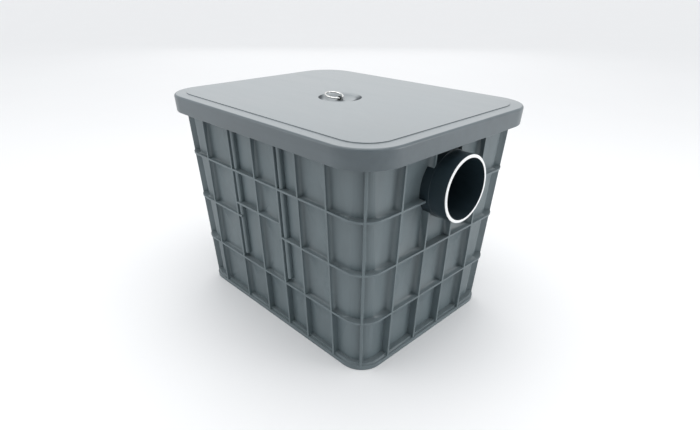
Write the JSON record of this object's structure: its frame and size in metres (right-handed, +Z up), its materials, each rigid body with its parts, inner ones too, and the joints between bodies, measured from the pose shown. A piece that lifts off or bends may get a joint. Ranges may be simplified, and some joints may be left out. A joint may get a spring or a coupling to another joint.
{
  "type": "grease trap",
  "caption": "Ribbed, tapered plastic grease trap with lift-off lid, pull ring, pipe stubs at both ends, baffle plates and a lift-out strainer basket.",
  "frame": {"origin": "under the middle of the tub, on the surface that it stands on", "axes": "+X along the flow line towards the inlet pipe, +Y across the tub, +Z up"},
  "size_m": [0.555, 0.4334, 0.4019],
  "materials": {
    "tub_plastic": "satin moulded plastic",
    "lid_plastic": "satin moulded plastic",
    "pipe_plastic": "smooth pipe plastic with a pale cut end",
    "plate_plastic": "smooth sheet plastic",
    "basket_plastic": "moulded plastic",
    "rubber": "matt",
    "eye_steel": "dull dark plating",
    "wire_steel": "bright drawn wire",
    "ring_chrome": "polished"
  },
  "bodies": {
    "tub": {"tub": "tub_plastic", "lid_seal": "rubber", "inlet_pipe": "pipe_plastic", "outlet_pipe": "pipe_plastic", "inlet_seal": "rubber", "outlet_seal": "rubber", "outlet_elbow": "pipe_plastic", "dip_pipe": "pipe_plastic", "inlet_baffle": "plate_plastic", "outlet_baffle": "plate_plastic", "strainer_basket": "basket_plastic"},
    "basket_handle": {"basket_handle": "wire_steel"},
    "lid": {"lid": "lid_plastic", "eye_bolt": "eye_steel", "eye_washer": "eye_steel", "eye_nut": "eye_steel"},
    "pull_ring": {"pull_ring": "ring_chrome"}
  },
  "joints": [
    {"name": "lid_lift", "type": "slide", "parent": "tub", "child": "lid", "axis": [0, 0, 1], "range_m": [0, 0.15]},
    {"name": "ring_swing", "type": "hinge", "parent": "lid", "child": "pull_ring", "pos_m": [0.004, -0.008, 0.3947], "axis": [0, 1, 0], "range_deg": [0, 160]},
    {"name": "handle_swing", "type": "hinge", "parent": "tub", "child": "basket_handle", "pos_m": [0.13398, 0, 0.28], "axis": [0, 1, 0], "range_deg": [0, 98]}
  ]
}
